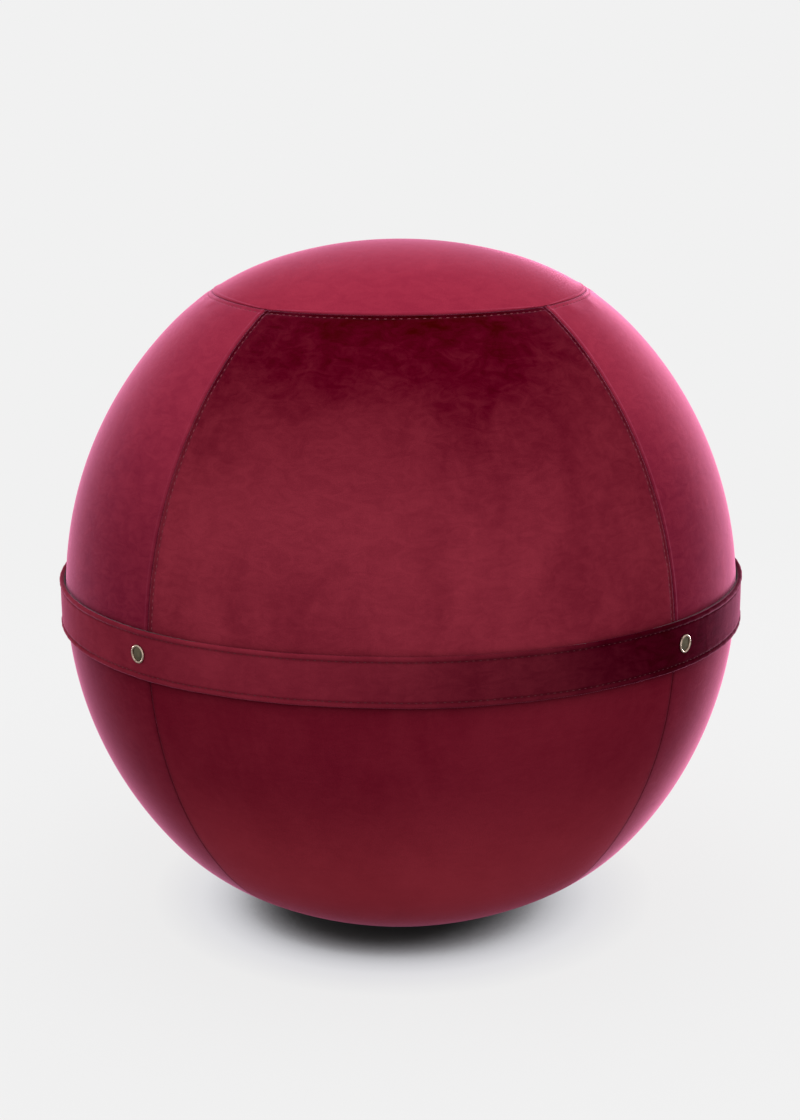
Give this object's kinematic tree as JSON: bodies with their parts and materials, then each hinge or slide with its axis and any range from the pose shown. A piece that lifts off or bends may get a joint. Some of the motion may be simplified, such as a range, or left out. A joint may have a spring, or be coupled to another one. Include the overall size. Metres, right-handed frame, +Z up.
{
  "type": "sitting ball",
  "caption": "Inflated sitting ball in a panelled velvet cover with a weighted flat foot, a base zip and a carrying belt held by press studs.",
  "frame": {"origin": "middle of the flat foot, on the floor", "axes": "+Z up through the crown, the front panel faces -Y"},
  "size_m": [0.5582, 0.5582, 0.5502],
  "materials": {
    "velvet": "matte",
    "base_cloth": "matte",
    "pad_rubber": "matte",
    "seam_tape": "matte",
    "zip_tape": "matte",
    "zip_teeth": "satin",
    "zip_metal": "satin",
    "ball_pvc": "satin",
    "plug_plastic": "satin",
    "pouch_cloth": "matte",
    "ballast_grit": "matte",
    "belt_velvet": "matte",
    "belt_webbing": "matte",
    "belt_lining": "matte",
    "stud_rim": "polished",
    "stud_centre": "satin",
    "stud_brass": "satin"
  },
  "bodies": {
    "ball": {"top_panel": "velvet", "upper_front_panel": "velvet", "upper_right_panel": "velvet", "upper_back_panel": "velvet", "upper_left_panel": "velvet", "lower_front_panel": "velvet", "lower_right_panel": "velvet", "lower_back_panel": "velvet", "lower_left_panel": "velvet", "base_panel": "base_cloth", "non_slip_pad": "pad_rubber", "top_seam_tape": "seam_tape", "waist_seam_tape": "seam_tape", "side_seam_tapes": "seam_tape", "zip_outer_tape": "zip_tape", "zip_inner_tape": "zip_tape", "zip_outer_teeth": "zip_teeth", "zip_inner_teeth": "zip_teeth", "zip_end_stops": "zip_metal", "inner_ball": "ball_pvc", "ballast_pouch": "pouch_cloth", "ballast_fill": "ballast_grit", "stud_posts": "stud_brass", "stud_back_discs": "stud_brass"},
    "zip_slider": {"zip_slider": "zip_metal"},
    "zip_pull": {"zip_pull": "zip_metal"},
    "valve_plug": {"valve_plug": "plug_plastic"},
    "belt": {"belt_band": "belt_velvet", "belt_core": "belt_webbing", "belt_lining": "belt_lining", "stud_cap_rims": "stud_rim", "stud_cap_centres": "stud_centre", "stud_sockets": "stud_brass"}
  },
  "joints": [
    {"name": "belt_lift", "type": "slide", "parent": "ball", "child": "belt", "axis": [0, 0, 1], "range_m": [0, 0.31], "deforming": ["stud_posts"]},
    {"name": "zip_travel", "type": "hinge", "parent": "ball", "child": "zip_slider", "pos_m": [0, 0, 0.0083], "axis": [0, 0, 1], "range_deg": [0, 179.82], "deforming": ["zip_outer_teeth", "zip_inner_teeth"]},
    {"name": "pull_flip", "type": "hinge", "parent": "zip_slider", "child": "zip_pull", "pos_m": [0.11286, 0.00013, 0.0083], "axis": [0.9311, 0.0011, 0.3649], "range_deg": [-170, 0]},
    {"name": "valve_pull", "type": "slide", "parent": "ball", "child": "valve_plug", "axis": [0, 0, -1], "range_m": [0, 0.018]}
  ]
}
